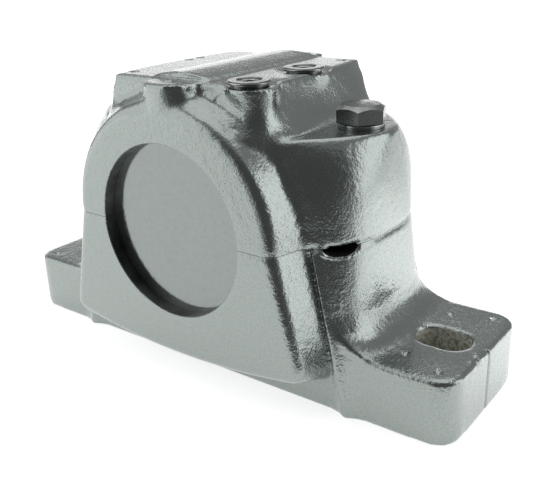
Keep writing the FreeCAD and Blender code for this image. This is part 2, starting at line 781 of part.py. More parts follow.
def end_cover_cord():
    middle, half = -(groove_inner + groove_outer) / 2, cord_thickness / 2
    inner = seal_groove_radius - cord_thickness + fit_gap
    return ring(inner, seal_groove_radius - fit_gap / 2, middle - half, middle + half)


def seal_half(side):
    """Half of the two-lip seal in the rear opening, above or below the split."""
    y0, y1 = groove_inner + fit_gap, groove_outer - fit_gap
    r, root, lip, middle = (seal_groove_radius - fit_gap, seal_body_radius,
                            seal_lip_radius, (groove_inner + groove_outer) / 2)
    turned = about_shaft([
        (r, y0), (r, y1), (root, y1), (lip, y1 - 1.5), (lip, y1 - 2.2), (root, middle),
        (lip, y0 + 2.2), (lip, y0 + 1.5), (root, y0)])
    z = centre_height + side * fit_gap / 2
    keep = box(-r, r, y0, y1, min(z, z + side * r), max(z, z + side * r))
    return turned.common(keep)


# ---- Every node --------------------------------------------------------------------
os.makedirs("parts", exist_ok=True)
room = bearing_room()
save("base", base_casting(room))
save("cap", cap_shell(room))
for name, place in zip(("right", "left"), bolt_places()):
    save("cap_bolt_" + name, cap_bolt(*place))
    save("bolt_washer_" + name, bolt_washer(*place))
for name, place in zip(("right", "left"), dowel_places()):
    save("dowel_pin_" + name, dowel_pin(*place))
for name, place in zip(("front", "rear"), plug_places()):
    save("grease_plug_" + name, grease_plug(*place))
for name, row in (("front", -1), ("rear", 1)):
    save("locating_ring_" + name, locating_ring(row))
    save("rollers_" + name, roller_row(row))
    save("cage_" + name, cage(row))
save("outer_ring", outer_ring())
save("inner_ring", inner_ring())
save("guide_ring", guide_ring())
save("adapter_sleeve", adapter_sleeve())
save("lock_washer", lock_washer())
save("lock_nut", lock_nut())
save("end_cover", end_cover())
save("end_cover_cord", end_cover_cord())
save("seal_half_upper", seal_half(1))
save("seal_half_lower", seal_half(-1))
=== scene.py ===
import math
import bmesh
import bpy
from mathutils import Matrix, Vector
from mathutils import noise as sand_noise


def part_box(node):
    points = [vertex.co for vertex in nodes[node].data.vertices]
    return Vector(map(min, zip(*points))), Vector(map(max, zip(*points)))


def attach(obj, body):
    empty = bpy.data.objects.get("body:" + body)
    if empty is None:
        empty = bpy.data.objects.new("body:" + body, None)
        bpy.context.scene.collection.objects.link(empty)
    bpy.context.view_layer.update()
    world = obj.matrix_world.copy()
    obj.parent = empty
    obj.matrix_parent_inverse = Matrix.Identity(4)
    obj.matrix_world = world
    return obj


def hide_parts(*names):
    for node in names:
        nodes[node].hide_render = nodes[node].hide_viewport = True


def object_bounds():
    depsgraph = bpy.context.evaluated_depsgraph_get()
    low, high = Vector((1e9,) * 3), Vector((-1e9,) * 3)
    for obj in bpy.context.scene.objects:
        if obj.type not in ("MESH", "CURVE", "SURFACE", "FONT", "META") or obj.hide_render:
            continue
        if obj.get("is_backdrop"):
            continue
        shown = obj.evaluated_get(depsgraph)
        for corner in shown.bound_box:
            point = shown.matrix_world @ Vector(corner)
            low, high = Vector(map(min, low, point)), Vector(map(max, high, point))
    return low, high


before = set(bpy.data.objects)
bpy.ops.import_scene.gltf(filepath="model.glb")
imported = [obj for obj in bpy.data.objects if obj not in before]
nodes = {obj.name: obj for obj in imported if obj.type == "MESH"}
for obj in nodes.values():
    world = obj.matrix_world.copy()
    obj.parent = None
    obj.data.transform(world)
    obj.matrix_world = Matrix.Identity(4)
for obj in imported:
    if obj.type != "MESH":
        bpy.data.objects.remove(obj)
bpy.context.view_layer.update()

# ---- Bench and studio --------------------------------------------------------------
# The block stands on white paper in a light tent. Soft panels light it from the left
# front, the right, overhead, and low behind its left end. The tent is open, and so dim,
# at the right front.
azimuth, elevation, roll = (math.radians(a) for a in (37.24, 21.86, -1.83))
focal, sensor = 49.92, 36.0
camera_place = Vector((0.24341, -0.29665, 0.20434))


def towards(azimuth, elevation):
    """Direction from the block, with azimuth from its front round to its right."""
    return Vector((math.sin(azimuth) * math.cos(elevation),
                   -math.cos(azimuth) * math.cos(elevation), math.sin(elevation)))


back = towards(azimuth, elevation)
level = Vector((math.cos(azimuth), math.sin(azimuth), 0))
upright = level.cross(-back)
right = math.cos(roll) * level + math.sin(roll) * upright
top = math.cos(roll) * upright - math.sin(roll) * level
camera = bpy.data.objects.new("camera", bpy.data.cameras.new("camera"))
bpy.context.scene.collection.objects.link(camera)
camera.data.lens, camera.data.sensor_width = focal, sensor
camera.data.clip_start, camera.data.clip_end = 0.01, 20
camera.matrix_world = (Matrix.Translation(camera_place)
                       @ Matrix((right, top, back)).transposed().to_4x4())
bpy.context.scene.camera = camera
bpy.context.scene.view_settings.view_transform = "Standard"


def hung(light, place, target):
    """The light as a lamp at place that shines at target."""
    lamp = bpy.data.objects.new(light.name, light)
    aim = Vector(target) - Vector(place)
    lamp.matrix_world = (Matrix.Translation(place)
                         @ aim.to_track_quat("-Z", "Y").to_matrix().to_4x4())
    bpy.context.scene.collection.objects.link(lamp)
    return lamp


def soft_panel(name, place, width, height, watts):
    """A broad panel that faces the middle of the block and isn't seen itself."""
    block_middle = (0, 0, 0.07)
    light = bpy.data.lights.new(name, "AREA")
    light.shape = "RECTANGLE"
    light.size, light.size_y, light.energy = width, height, watts
    hung(light, place, block_middle).visible_camera = False


soft_panel("left_panel", (-0.94, -0.79, 0.52), 1.5, 1.5, 7)
soft_panel("right_panel", (1.2, 0.49, 0.42), 0.8, 1.3, 5)
soft_panel("overhead_panel", (-0.25, 0.3, 1.3), 1.4, 1.4, 6)
soft_panel("low_panel", (-0.92, 0.92, 0.13), 1.6, 0.5, 3.2)

# A narrow beam lifts the paper behind the right end.
beam = bpy.data.lights.new("paper_beam", "SPOT")
beam.energy, beam.spot_size, beam.spot_blend = 80, math.radians(15), 1.0
beam.shadow_soft_size = 0.05
hung(beam, (0.55, 0.45, 1.4), (0.25, 0.15, 0))

# The tent glows evenly, apart from its open side. Seen itself, it is plain white.
tent_glow, dim_glow, plain_white = 0.34, 0.10, 1.0
open_azimuth, open_elevation = math.radians(38), math.radians(12)
open_edge, open_core = math.cos(math.radians(53)), math.cos(math.radians(42))
tent = bpy.data.worlds.new("tent")
bpy.context.scene.world = tent
tent.use_nodes = True
tree = tent.node_tree
direction = tree.nodes.new("ShaderNodeTexCoord")
facing = tree.nodes.new("ShaderNodeVectorMath")
facing.operation = "DOT_PRODUCT"
facing.inputs[1].default_value = towards(open_azimuth, open_elevation)
tree.links.new(direction.outputs["Generated"], facing.inputs[0])
glow = tree.nodes.new("ShaderNodeMapRange")
glow.interpolation_type = "SMOOTHSTEP"
glow.inputs["From Min"].default_value = open_edge
glow.inputs["From Max"].default_value = open_core
glow.inputs["To Min"].default_value = tent_glow
glow.inputs["To Max"].default_value = dim_glow
tree.links.new(facing.outputs["Value"], glow.inputs["Value"])
ray = tree.nodes.new("ShaderNodeLightPath")
shown = tree.nodes.new("ShaderNodeMix")
tree.links.new(ray.outputs["Is Camera Ray"], shown.inputs["Factor"])
tree.links.new(glow.outputs["Result"], shown.inputs["A"])
shown.inputs["B"].default_value = plain_white
tree.links.new(shown.outputs["Result"], tree.nodes["Background"].inputs["Strength"])
tree.nodes["Background"].inputs["Color"].default_value = (1, 1, 1, 1)

# The paper is cut off a little way in front of the block, towards the open side.
bench_reach, bench_front = 1.6, 0.20
paper_color, paper_roughness, paper_lift = (0.86, 0.86, 0.86, 1), 0.8, 0.70
edge_normal = towards(open_azimuth, 0)
sheet = bmesh.new()
bmesh.ops.create_grid(sheet, x_segments=1, y_segments=1, size=bench_reach)
bmesh.ops.bisect_plane(sheet, geom=sheet.verts[:] + sheet.edges[:] + sheet.faces[:],
                       plane_co=bench_front * edge_normal, plane_no=edge_normal,
                       clear_outer=True)
mesh = bpy.data.meshes.new("bench")
sheet.to_mesh(mesh)
sheet.free()
bench = bpy.data.objects.new("bench", mesh)
bpy.context.scene.collection.objects.link(bench)
bench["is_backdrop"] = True
paper = bpy.data.materials.new("bench_paper")
paper.use_nodes = True
tree = paper.node_tree
shader = tree.nodes["Principled BSDF"]
shader.inputs["Base Color"].default_value = paper_color
shader.inputs["Roughness"].default_value = paper_roughness
shader.inputs["Emission Color"].default_value = (1, 1, 1, 1)
ray = tree.nodes.new("ShaderNodeLightPath")
seen = ray.outputs["Is Camera Ray"]
for kind in ("Is Glossy Ray", "Is Transmission Ray"):
    either = tree.nodes.new("ShaderNodeMath")
    either.operation = "MAXIMUM"
    tree.links.new(seen, either.inputs[0])
    tree.links.new(ray.outputs[kind], either.inputs[1])
    seen = either.outputs["Value"]
lift = tree.nodes.new("ShaderNodeMath")
lift.operation = "MULTIPLY"
lift.inputs[1].default_value = paper_lift
tree.links.new(seen, lift.inputs[0])
tree.links.new(lift.outputs["Value"], shader.inputs["Emission Strength"])
mesh.materials.append(paper)

# ---- Housing castings --------------------------------------------------------------
# Base and cap are grey iron castings, faced where they meet and bored together for the
# bearing. Their corners are soft from the sand, and grey enamel covers all but the bore,
# the bolt slots and the levering slots.
ring_low, ring_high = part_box("outer_ring")
shaft_height = (ring_low.z + ring_high.z) / 2
base_high, cap_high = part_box("base")[1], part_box("cap")[1]
foot_end, half_width = base_high.x, max(base_high.y, cap_high.y)
plug_stand = 0.0016            # height of a plug's flange over the cap's top strips
strip_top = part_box("grease_plug_front")[1].z - plug_stand


def finished_mesh(bm, name, sharp=38):
    """Mesh with smooth faces that keeps every edge turned by more than sharp degrees."""
    for face in bm.faces:
        face.smooth = True
    for edge in bm.edges:
        if edge.is_manifold and edge.calc_face_angle() > math.radians(sharp):
            edge.smooth = False
    mesh = bpy.data.meshes.new(name)
    bm.to_mesh(mesh)
    bm.free()
    return mesh


def turned(profile, steps=120):
    """Closed solid of a (radius, y) outline spun about the shaft's axis."""
    bm = bmesh.new()
    points = [bm.verts.new((r, y, shaft_height)) for r, y in profile]
    rim = [bm.edges.new(pair) for pair in zip(points, points[1:])]
    bmesh.ops.spin(bm, geom=points + rim, cent=(0, 0, shaft_height), axis=(0, 1, 0),
                   dvec=(0, 0, 0), angle=2 * math.pi, steps=steps, use_merge=True,
                   use_duplicate=False)
    bmesh.ops.remove_doubles(bm, verts=bm.verts, dist=1e-6)
    bmesh.ops.recalc_face_normals(bm, faces=bm.faces)
    return bm


def block(low, high):
    """Closed box between two corners."""
    bm = bmesh.new()
    size = [b - a for a, b in zip(low, high)]
    middle = [(a + b) / 2 for a, b in zip(low, high)]
    bmesh.ops.create_cube(bm, size=1, matrix=Matrix.Translation(middle)
                          @ Matrix.Diagonal((*size, 1)))
    return bm


def cone(bottom, top, height, matrix, steps=24):
    """Closed cone or cylinder with those two radii."""
    bm = bmesh.new()
    bmesh.ops.create_cone(bm, cap_ends=True, segments=steps, radius1=bottom, radius2=top,
                          depth=height, matrix=matrix)
    return bm


def joined(parts):
    """One mesh of several closed solids."""
    whole = bmesh.new()
    for part in parts:
        mesh = bpy.data.meshes.new("part")
        part.to_mesh(mesh)
        whole.from_mesh(mesh)
        bpy.data.meshes.remove(mesh)
        part.free()
    return whole


def applied(bm, make):
    """The mesh after the modifier that make() adds, as a new bmesh."""
    mesh = bpy.data.meshes.new("work")
    bm.to_mesh(mesh)
    bm.free()
    work = bpy.data.objects.new("work", mesh)
    bpy.context.scene.collection.objects.link(work)
    make(work)
    graph = bpy.context.evaluated_depsgraph_get()
    result = bpy.data.meshes.new_from_object(work.evaluated_get(graph))
    out = bmesh.new()
    out.from_mesh(result)
    bpy.data.objects.remove(work)
    bpy.data.meshes.remove(result)
    bpy.data.meshes.remove(mesh)
    return out


def machined(bm, cuts):
    """bm with a closed set of cutting solids taken away."""
    mesh = bpy.data.meshes.new("cutter")
    whole = joined(cuts)
    whole.to_mesh(mesh)
    whole.free()
    cutter = bpy.data.objects.new("cutter", mesh)
    bpy.context.scene.collection.objects.link(cutter)

    def cut(work):
        modifier = work.modifiers.new("cut", "BOOLEAN")
        modifier.operation, modifier.object = "DIFFERENCE", cutter
        modifier.solver = "MANIFOLD"
    out = applied(bm, cut)
    bpy.data.objects.remove(cutter)
    bpy.data.meshes.remove(mesh)
    return out


def cad_copy(name):
    """A CAD piece's mesh with its loose triangles joined up."""
    bm = bmesh.new()
    bm.from_mesh(nodes[name].data)
    bmesh.ops.remove_doubles(bm, verts=bm.verts, dist=2e-6)
    return bm


def soften(bm, verts, times, height=True):
    """Even out some of the points, in height as well unless told otherwise."""
    for _ in range(times):
        bmesh.ops.smooth_vert(bm, verts=verts, factor=0.5, use_axis_x=True,
                              use_axis_y=True, use_axis_z=height)


def hollows(bm, least):
    """Points that lie deeper than least below the middle of their neighbours."""
    bm.normal_update()
    found = []
    for vert in bm.verts:
        middle = Vector()
        for edge in vert.link_edges:
            middle += edge.other_vert(vert).co
        middle = middle / len(vert.link_edges) - vert.co
        if middle.dot(vert.normal) > least:
            found.append(vert)
    return found


def grown(bm, verts, steps):
    """The points, with the rings of neighbours round them."""
    for _ in range(steps):
        ring = bmesh.ops.region_extend(bm, geom=verts, use_faces=False,
                                       use_contract=False)["geom"]
        verts = list(set(verts) | {v for v in ring if isinstance(v, bmesh.types.BMVert)})
    return verts


# Both outlines are cast as one skin of even cells. A core fills their inside meanwhile,
# and boring opens it again.
core_end, neck_radius, neck_end = 0.0599, 0.050, 0.0425
room_radius, room_end = 0.064, 0.031
core = [(0, -core_end), (neck_radius, -core_end), (neck_radius, -neck_end),
        (room_radius, -room_end)]
core += [(r, -y) for r, y in reversed(core)]
cell = 0.00116


def voxelise(work):
    """Modifier that makes one skin of several overlapping solids."""
    modifier = work.modifiers.new("cells", "REMESH")
    modifier.mode, modifier.voxel_size = "VOXEL", cell


casting = applied(joined([cad_copy("base"), cad_copy("cap"), turned(core)]), voxelise)


def ramp(value, start, end):
    """Smooth step from 0 at start to 1 at end."""
    share = min(1, max(0, (value - start) / (end - start)))
    return share * share * (3 - 2 * share)


# The upper block's four corners spread out towards the bolt ledges.
corner_push, corner_flare, flare_foot = 0.0016, 0.0044, 0.128
side_inner, side_outer, ledge_rise = (0.022, 0.036), (0.062, 0.048), (0.122, 0.130)
corner_inner, corner_outer = (0, 0.040), (0.053, 0.047)
for vert in casting.verts:
    x, y, z = abs(vert.co.x), abs(vert.co.y), vert.co.z
    fall = min(1, max(0, (strip_top - z) / (strip_top - flare_foot)))
    push = corner_push + corner_flare * fall
    push *= ramp(x, *side_inner) * ramp(x, *side_outer)
    push *= ramp(y, *corner_inner) * ramp(y, *corner_outer)
    push *= ramp(z, *ledge_rise)
    vert.co.x += math.copysign(push, vert.co.x)

# Inner corners are rounder than outer ones, apart from those round the crisp top strips.
skin_passes, hollow_passes, hollow_rings = 2, 16, 3
hollow_least, crisp_above = 0.05 * cell, 0.140
soften(casting, casting.verts, skin_passes)
inner = [vert for vert in hollows(casting, hollow_least) if vert.co.z < crisp_above]
soften(casting, grown(casting, inner, hollow_rings), hollow_passes)

# The foot's four upright corners are made truly round, without lifting its edge.
corner_x, corner_y, corner_top, corner_passes = 0.118, 0.021, 0.030, 14
soften(casting, [vert for vert in casting.verts
                 if abs(vert.co.x) > corner_x and abs(vert.co.y) > corner_y
                 and vert.co.z < corner_top], corner_passes, False)

# The noses' corners are eased.
nose_width, nose_front, nose_low, nose_passes = 0.024, 0.043, 0.135, 30
nose_high = strip_top - 0.0015
soften(casting, [vert for vert in casting.verts
                 if abs(vert.co.x) < nose_width and abs(vert.co.y) > nose_front
                 and nose_low < vert.co.z < nose_high], nose_passes)

run_out_high = strip_top - 0.003


def run_out(middle, reaches, passes):
    """Blend of the surface round a point, strongest at its middle."""
    for reach in reaches:
        soften(casting, [vert for vert in casting.verts
                         if vert.co.z < run_out_high
                         and (vert.co - middle).length < reach], passes)


# The swellings under the plugs run out softly into the wall.
swell_past, swell_height, swell_passes = 0.008, 0.138, 7
for name in ("grease_plug_front", "grease_plug_rear"):
    low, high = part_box(name)
    run_out(Vector(((low.x + high.x) / 2 + swell_past, (low.y + high.y) / 2, swell_height)),
            (0.016, 0.014, 0.012, 0.010), swell_passes)

# Where the bolt ledges run out against the bosses they are rounded off further.
ledge_x, ledge_y, ledge_height, ledge_passes = 0.0465, 0.0405, 0.1285, 9
for x in (-ledge_x, ledge_x):
    for y in (-ledge_y, ledge_y):
        run_out(Vector((x, y, ledge_height)), (0.014, 0.012, 0.010, 0.008, 0.006),
                ledge_passes)


def refine(near, cuts):
    """Extra points on the casting, on each edge that has both its ends near a mark."""
    edges = [edge for edge in casting.edges if all(near(v.co) for v in edge.verts)]
    bmesh.ops.subdivide_edges(casting, edges=edges, cuts=cuts, use_grid_fill=True)


# Mould flash: a sharp ridge down each side of both bosses, over the sole block.
flash_height, flash_width, flash_spread, flash_reach = 0.0030, 0.0014, 0.0013, 0.0085
flash_top, flash_foot, flash_y = 0.0695, 0.0867, 0.0390
flash_behind, flash_before, flash_end = -0.004, 0.008, shaft_height - 0.0012


def past_flash(point):
    """How far a point stands outward of the ridge, or None where there is none."""
    x, y, z = abs(point.x), abs(point.y), point.z
    if z > flash_end or not flash_behind < y - flash_y < flash_before:
        return None
    off = x - flash_foot - (flash_top - flash_foot) * z / shaft_height
    return off if abs(off) < flash_reach else None


refine(lambda point: past_flash(point) is not None, 1)
for vert in casting.verts:
    off = past_flash(vert.co)
    if off is not None:
        wide = flash_width + flash_spread * (1 - vert.co.z / shaft_height)
        rise = flash_height * math.exp(1 - math.hypot(1, off / wide))
        rise -= max(0, abs(vert.co.y) - flash_y)
        if rise > 0:
            vert.co.y += math.copysign(rise, vert.co.y)

# The pattern's parting line shows as a groove down each end of the foot, with a lump
# of burnt-on sand beside it on the right end.
line_depth, line_width, line_reach, end_skin = 0.0011, 0.0007, 0.0028, 0.002
refine(lambda point: abs(point.x) > foot_end - end_skin and abs(point.y) < line_reach, 2)
lump = Vector((foot_end - 0.0015, -0.0105, 0.0295))
lump_reach, lump_height, lump_fade = 0.0044, 0.0012, 2.5
crumb_base, crumb_swing, crumb_grain = 0.3, 1.6, 450
casting.normal_update()
for vert in casting.verts:
    if abs(vert.co.x) > foot_end - end_skin:
        vert.co.x -= math.copysign(line_depth, vert.co.x) * math.exp(
            -(vert.co.y / line_width) ** 2)
    from_lump = (vert.co - lump).length / lump_reach
    if from_lump < lump_fade:
        crumbs = crumb_base + crumb_swing * sand_noise.noise(vert.co * crumb_grain)
        vert.co += vert.normal * lump_height * crumbs * math.exp(-from_lump ** 2)
        vert.co.x = min(vert.co.x, foot_end)

# Paint stands in a bead round the levering slots, at two opposite corners of the base.
pry_half, pry_sunk, pry_turn = 0.0087, 0.0041, math.radians(-37)
pry_x, pry_y, pry_reach = 0.0732, -0.0278, 0.012
bead_height, bead_width, bead_reach = 0.00045, 0.0006, 0.0025
tail = 3                       # widths from its middle at which a bead or groove ends


def past_slot(point):
    """How far a point below the joint stands outside the levering slot's outline."""
    side = math.copysign(1, point.x)
    along = ((point.x - side * pry_x) * -math.sin(pry_turn)
             + (point.y - side * pry_y) * math.cos(pry_turn))
    across = ((point.x - side * pry_x) * math.cos(pry_turn)
              + (point.y - side * pry_y) * math.sin(pry_turn)) * side
    down = shaft_height - point.z
    if down < 0 or abs(across) > pry_reach:
        return 1
    return (math.hypot(along / pry_half, down / pry_sunk) - 1) * pry_sunk


refine(lambda point: abs(past_slot(point)) < bead_reach, 2)
casting.normal_update()
for vert in casting.verts:
    off = (past_slot(vert.co) - bead_width) / bead_width
    if abs(off) < tail:
        vert.co += vert.normal * bead_height * math.exp(-off * off)

# The joint shows as a fine groove, wider and deeper at the bosses' outer ends.
joint_depth, joint_width, joint_passes, joint_near = 0.00035, 0.0009, 6, 0.0022
ear_depth, ear_width, ear_from, ear_full = 0.0010, 0.0017, 0.077, 0.089
soften(casting, [vert for vert in casting.verts
                 if abs(vert.co.z - shaft_height) < joint_near], joint_passes)
casting.normal_update()
for vert in casting.verts:
    ear = min(1, max(0, (abs(vert.co.x) - ear_from) / (ear_full - ear_from)))
    deep = joint_depth + ear * (ear_depth - joint_depth)
    wide = joint_width + ear * (ear_width - joint_width)
    off = (vert.co.z - shaft_height) / wide
    if abs(off) < tail:
        vert.co -= vert.normal * deep * math.exp(-off * off)

# The bore: a chamfered mouth, a lip with the seal's groove in it, a chamber for grease,
# and the bearing's seat in the middle.
mouth_radius, mouth_over, mouth_deep, lip_radius = 0.0435, 0.001, 0.0005, 0.0425
groove_radius, groove_outer, groove_inner = 0.0485, 0.0535, 0.0465
chamber_neck, chamber_start, chamber_radius, chamber_full = 0.054, 0.0415, 0.0625, 0.030
seat_radius, seat_end = 0.06002, 0.022
bore = [(0, -half_width - mouth_over), (mouth_radius, -half_width - mouth_over),
        (lip_radius, -half_width + mouth_deep), (lip_radius, -groove_outer),
        (groove_radius, -groove_outer), (groove_radius, -groove_inner),
        (lip_radius, -groove_inner), (lip_radius, -chamber_start),
        (chamber_neck, -chamber_start), (chamber_radius, -chamber_full),
        (chamber_radius, -seat_end), (seat_radius, -seat_end)]
bore += [(r, -y) for r, y in reversed(bore)]


def punch(x, y, z):
    """Cone of a punch mark, sunk into a face at height z."""
    radius, depth, over = 0.0024, 0.0021, 0.001
    wide = radius * (depth + over) / depth
    return cone(0, wide, depth + over,
                Matrix.Translation((x, y, z - depth + (depth + over) / 2)))


def pry(side):
    """Lens-shaped levering slot in the base's top edge, at a corner of the cap."""
    reach = 0.011
    place = Matrix.Translation((side * pry_x, side * pry_y, shaft_height))
    turn = Matrix.Rotation(pry_turn, 4, "Z") @ Matrix.Rotation(math.radians(90), 4, "Y")
    flat = Matrix.Diagonal((pry_sunk / pry_half, 1, 1, 1))
    return cone(pry_half, pry_half, 2 * reach, place @ turn @ flat, 64)


# Base and cap are parted at the joint, then punched and slotted.
slot_middle, foot_top = 0.115, 0.032
joint_gap, far = 0.0001, 0.4
foot_marks = ((-0.0075, 0.0235), (0.0115, 0.030))
strip_marks = ((-0.0348, -0.0375), (0.0348, 0.0375), (-0.0388, 0.005), (-0.0388, 0.014),
               (-0.001, -0.050))
bored = machined(casting, [turned(bore)])
upper = block((-far, -far, shaft_height - joint_gap), (far, far, far))
lower = block((-far, -far, -far), (far, far, shaft_height + joint_gap))
base_mesh = machined(bored.copy(), [upper])
cap_mesh = machined(bored, [lower])
foot_cuts = [pry(1), pry(-1)]
for side in (-1, 1):
    for end in (-1, 1):
        foot_cuts += [punch(side * (slot_middle + past), end * off_axis, foot_top)
                      for past, off_axis in foot_marks]
base_mesh = machined(base_mesh, foot_cuts)
cap_mesh = machined(cap_mesh, [punch(x, y, strip_top) for x, y in strip_marks])


def shader_group(name, inputs, outputs):
    """Empty node group with float inputs and outputs, and its two end nodes."""
    group = bpy.data.node_groups.new(name, "ShaderNodeTree")
    for label, value in inputs:
        socket = group.interface.new_socket(label, in_out="INPUT",
                                            socket_type="NodeSocketFloat")
        socket.default_value = value
    for label in outputs:
        group.interface.new_socket(label, in_out="OUTPUT", socket_type="NodeSocketFloat")
    return group, group.nodes.new("NodeGroupInput"), group.nodes.new("NodeGroupOutput")


def noise(tree, scale, detail, place):
    """Noise with as many cells to the metre as the scale socket says."""
    grain = tree.nodes.new("ShaderNodeTexNoise")
    tree.links.new(scale, grain.inputs["Scale"])
    grain.inputs["Detail"].default_value = detail
    tree.links.new(place, grain.inputs["Vector"])
    return grain.outputs["Fac"]


def spread(tree, value, low, high, start=0.0, end=1.0):
    """The stretch of value from low to high, laid over start to end."""
    node = tree.nodes.new("ShaderNodeMapRange")
    node.interpolation_type = "SMOOTHSTEP"
    for label, number in (("From Min", low), ("From Max", high), ("To Min", start),
                          ("To Max", end)):
        node.inputs[label].default_value = number
    tree.links.new(value, node.inputs["Value"])
    return node.outputs["Result"]


def combined(tree, operation, first, second):
    """Sum or product of a socket and a second socket or number."""
    node = tree.nodes.new("ShaderNodeMath")
    node.operation = operation
    for socket, value in zip(node.inputs, (first, second)):
        if isinstance(value, bpy.types.NodeSocket):
            tree.links.new(value, socket)
        else:
            socket.default_value = value
    return node.outputs["Value"]


# Pebbled skin of a sand casting under paint: fine grain in patches, on slow waves.
patch_start, patch_end, least_grain, wave_share = 0.35, 0.65, 0.45, 1.2
pit_deep, pit_shallow = 0.30, 0.60
pebbles, ins, outs = shader_group(
    "pebbles", (("Grain", 900), ("Waves", 240), ("Patches", 38)), ("Height", "Pits"))
place = pebbles.nodes.new("ShaderNodeTexCoord").outputs["Object"]
fine = noise(pebbles, ins.outputs["Grain"], 1, place)
slow = noise(pebbles, ins.outputs["Waves"], 1, place)
patch = spread(pebbles, noise(pebbles, ins.outputs["Patches"], 1, place), patch_start,
               patch_end, least_grain, 1.0)
height = combined(pebbles, "ADD", combined(pebbles, "MULTIPLY", fine, patch),
                  combined(pebbles, "MULTIPLY", slow, wave_share))
pebbles.links.new(height, outs.inputs["Height"])
pebbles.links.new(spread(pebbles, fine, pit_deep, pit_shallow, 1.0, 0.0),
                  outs.inputs["Pits"])

# Fine lines left by turning or grinding, and the stains between them.
stain_start, stain_end = 0.42, 0.68
tooled, ins, outs = shader_group(
    "tooled", (("Lines", 2500), ("Stains", 120)), ("Height", "Stain"))
place = tooled.nodes.new("ShaderNodeTexCoord").outputs["Object"]
tooled.links.new(noise(tooled, ins.outputs["Lines"], 2, place), outs.inputs["Height"])
tooled.links.new(spread(tooled, noise(tooled, ins.outputs["Stains"], 3, place),
                        stain_start, stain_end), outs.inputs["Stain"])


def placed(tree, group, **values):
    """A node group in a material, with its own values."""
    node = tree.nodes.new("ShaderNodeGroup")
    node.node_tree = group
    for label, value in values.items():
        node.inputs[label].default_value = value
    return node


def two_tone(tree, shader, mask, first, second):
    """Base colour that goes from first to second with the mask."""
    mix = tree.nodes.new("ShaderNodeMix")
    mix.data_type = "RGBA"
    mix.inputs["A"].default_value = (*first, 1)
    mix.inputs["B"].default_value = (*second, 1)
    tree.links.new(mask, mix.inputs["Factor"])
    tree.links.new(mix.outputs["Result"], shader.inputs["Base Color"])


def new_finish(name, metallic, coat=0.0):
    """New material, its node tree and its shader, with as much clear coat as it says."""
    coat_roughness = 0.05
    material = bpy.data.materials.new(name)
    material.use_nodes = True
    shader = material.node_tree.nodes["Principled BSDF"]
    shader.inputs["Metallic"].default_value = metallic
    shader.inputs["Coat Weight"].default_value = coat
    shader.inputs["Coat Roughness"].default_value = coat_roughness
    return material, material.node_tree, shader


def bump(tree, shader, height, distance):
    """Relief that deep, from a height that changes over the surface."""
    node = tree.nodes.new("ShaderNodeBump")
    node.inputs["Distance"].default_value = distance
    tree.links.new(height, node.inputs["Height"])
    tree.links.new(node.outputs["Normal"], shader.inputs["Normal"])


enamel, tree, shader = new_finish("enamel", 0.93, 0.4)
skin = placed(tree, pebbles)
two_tone(tree, shader, skin.outputs["Pits"], (0.305, 0.341, 0.325), (0.285, 0.319, 0.304))
tree.links.new(spread(tree, skin.outputs["Pits"], 0, 1, 0.22, 0.28),
               shader.inputs["Roughness"])
bump(tree, shader, skin.outputs["Height"], 0.0002)

# Inside the bolt slots the iron is bare and rusting.
bare_iron, tree, shader = new_finish("bare_iron", 0.0)
skin = placed(tree, pebbles, Grain=700, Waves=260, Patches=90)
two_tone(tree, shader, skin.outputs["Pits"], (0.58, 0.59, 0.52), (0.25, 0.235, 0.18))
shader.inputs["Roughness"].default_value = 0.6
bump(tree, shader, skin.outputs["Height"], 0.0006)

# The levering slots are coloured near black, as painted shade for the dark deep gap between
# base and cap.
levering_slot_painted_shade, tree, shader = new_finish("levering_slot_painted_shade", 0.2)
skin = placed(tree, pebbles, Grain=600)
two_tone(tree, shader, skin.outputs["Pits"], (0.012, 0.012, 0.011), (0.006, 0.006, 0.005))
shader.inputs["Roughness"].default_value = 0.7
bump(tree, shader, skin.outputs["Height"], 0.0003)

# The bore is machined, with tool lines and stains, and coloured near black as painted shade
# for the dark inside the deep bore.
bore_painted_shade, tree, shader = new_finish("bore_painted_shade", 0.85)
marks = placed(tree, tooled, Lines=1800, Stains=90)
two_tone(tree, shader, marks.outputs["Stain"], (0.10, 0.105, 0.10), (0.05, 0.052, 0.05))
shader.inputs["Roughness"].default_value = 0.35
bump(tree, shader, marks.outputs["Height"], 0.00005)

painted, slotted, levered, bored_wall = range(4)
slot_reach, slot_half = 0.018, 0.0098
slot_low, slot_high, slot_lean = 0.0012, foot_top - 0.0008, 0.5
bore_half, bore_least, bore_wall, bore_most = 0.0585, 0.042, 0.0445, 0.063
pry_low, pry_high = shaft_height - 0.0057, shaft_height - 0.0004
pry_inner, pry_outer, pry_down, pry_out = 0.062, 0.086, -0.1, 0.25


def iron_face(face):
    """Which of a casting's four finishes a face has."""
    (x, y, z), normal = face.calc_center_median(), face.normal
    if abs(abs(x) - slot_middle) < slot_reach and abs(y) < slot_half:
        if slot_low < z < slot_high and abs(normal.z) < slot_lean:
            return slotted
    from_shaft = Vector((x, 0, z - shaft_height))
    if abs(y) < bore_half and bore_least < from_shaft.length < bore_most:
        if from_shaft.dot(normal) < 0 or from_shaft.length < bore_wall:
            return bored_wall
    if pry_low < z < pry_high and pry_inner < abs(x) < pry_outer:
        if x * y < 0 and normal.z > pry_down:
            outwards = Vector((math.copysign(0.6, x), -math.copysign(0.8, x), 0))
            if normal.dot(outwards) < pry_out:
                return levered
    return painted


def replaced(name, title, bm, finishes, flats=False):
    """The made piece in the place of a CAD piece, with flat faces evenly shaded if told."""
    piece = bpy.data.objects.new(title, finished_mesh(bm, name))
    bpy.context.scene.collection.objects.link(piece)
    for finish in finishes:
        piece.data.materials.append(finish)
    if flats:
        even = piece.modifiers.new("flats", "WEIGHTED_NORMAL")
        even.keep_sharp = True
    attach(piece, "housing")
    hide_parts(name)


